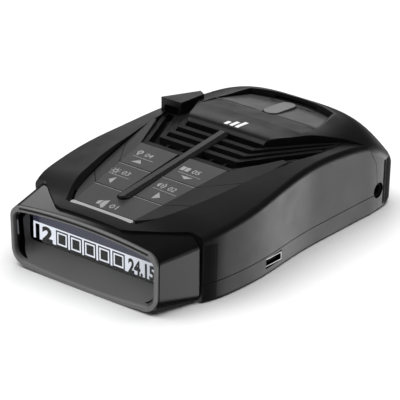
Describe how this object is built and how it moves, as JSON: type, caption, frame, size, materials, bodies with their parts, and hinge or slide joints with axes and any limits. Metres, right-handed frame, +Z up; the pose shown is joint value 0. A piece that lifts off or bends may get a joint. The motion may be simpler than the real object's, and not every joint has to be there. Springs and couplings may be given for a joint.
{
  "type": "radar detector",
  "caption": "Compact dashboard and windshield radar detector with a rear display, raised keypad, finned speaker grille, bracket dish and a rear-looking sensor pod.",
  "frame": {"origin": "middle of the underside, under the centre of the bounding box", "axes": "+Y towards the road end, +Z up, +X towards the side with the sockets"},
  "size_m": [0.0734, 0.114, 0.032],
  "materials": {
    "board_green": "solder mask over glass laminate",
    "can_metal": "drawn can",
    "chip_black": "moulded epoxy",
    "clear_window": "clear hard-coated",
    "cone_paper": "coated paper",
    "cover_satin": "satin black, fine texture",
    "foam_black": "closed-cell foam",
    "gloss_black": "polished black",
    "horn_metal": "cast",
    "infrared_filter": "dark tinted, see-through to infrared only",
    "key_grey": "matte charcoal",
    "label_film": "printed film",
    "lens_clear": "polished acrylic",
    "light_guide": "milky white diffuser",
    "magnet_metal": "plated",
    "panel_glass": "display glass",
    "plated_steel": "zinc plated",
    "port_nylon": "glass-filled nylon",
    "ribbon_film": "polyimide film",
    "spine_dark": "smooth dark grey",
    "spring_steel": "drawn wire"
  },
  "bodies": {
    "housing": {"top_cover": "cover_satin", "bottom_cover": "cover_satin", "front_hood": "cover_satin", "front_window": "infrared_filter", "pod_window": "infrared_filter", "pod_board": "board_green", "pod_sensor": "chip_black", "release_spring": "spring_steel", "release_plate": "plated_steel", "plate_screws": "plated_steel", "display_bezel": "gloss_black", "rear_collar": "gloss_black", "display_window": "clear_window", "display_panel": "panel_glass", "display_light_box": "light_guide", "display_board": "board_green", "display_ribbon": "ribbon_film", "key_deck": "cover_satin", "keypad_board": "board_green", "key_switches": "plated_steel", "keypad_lamps": "light_guide", "keypad_ribbon": "ribbon_film", "mute_light_bar": "light_guide", "centre_spine": "spine_dark", "speaker_grille": "cover_satin", "speaker_basket": "plated_steel", "speaker_cone": "cone_paper", "speaker_magnet": "magnet_metal", "speaker_gasket": "foam_black", "main_board": "board_green", "board_chips": "chip_black", "board_capacitors": "can_metal", "mixer_shield": "plated_steel", "horn_antenna": "horn_metal", "laser_board": "board_green", "laser_sensor": "chip_black", "laser_lens": "lens_clear", "usb_socket": "plated_steel", "usb_tongue": "port_nylon", "power_jack": "port_nylon", "case_screws": "plated_steel", "board_screws": "plated_steel", "rating_label": "label_film"},
    "mute_key": {"mute_key": "key_grey"},
    "dim_key": {"dim_key": "key_grey"},
    "sensitivity_key": {"sensitivity_key": "key_grey"},
    "mark_key": {"mark_key": "key_grey"},
    "menu_key": {"menu_key": "key_grey"},
    "release_button": {"release_button": "cover_satin"}
  },
  "joints": [
    {"name": "mute_press", "type": "slide", "parent": "housing", "child": "mute_key", "axis": [0, 0.1374, -0.9905], "range_m": [0, 0.0005], "stiffness_N_per_m": 800, "springref_m": -0.0005},
    {"name": "dim_press", "type": "slide", "parent": "housing", "child": "dim_key", "axis": [0, 0.1374, -0.9905], "range_m": [0, 0.0005], "stiffness_N_per_m": 800, "springref_m": -0.0005},
    {"name": "sensitivity_press", "type": "slide", "parent": "housing", "child": "sensitivity_key", "axis": [0, 0.1374, -0.9905], "range_m": [0, 0.0005], "stiffness_N_per_m": 800, "springref_m": -0.0005},
    {"name": "mark_press", "type": "slide", "parent": "housing", "child": "mark_key", "axis": [0, 0.1374, -0.9905], "range_m": [0, 0.0005], "stiffness_N_per_m": 800, "springref_m": -0.0005},
    {"name": "menu_press", "type": "slide", "parent": "housing", "child": "menu_key", "axis": [0, 0.1374, -0.9905], "range_m": [0, 0.0005], "stiffness_N_per_m": 800, "springref_m": -0.0005},
    {"name": "release_press", "type": "slide", "parent": "housing", "child": "release_button", "axis": [0, 0, -1], "range_m": [0, 0.0012], "stiffness_N_per_m": 400, "springref_m": -0.002, "deforming": ["release_spring"]}
  ]
}
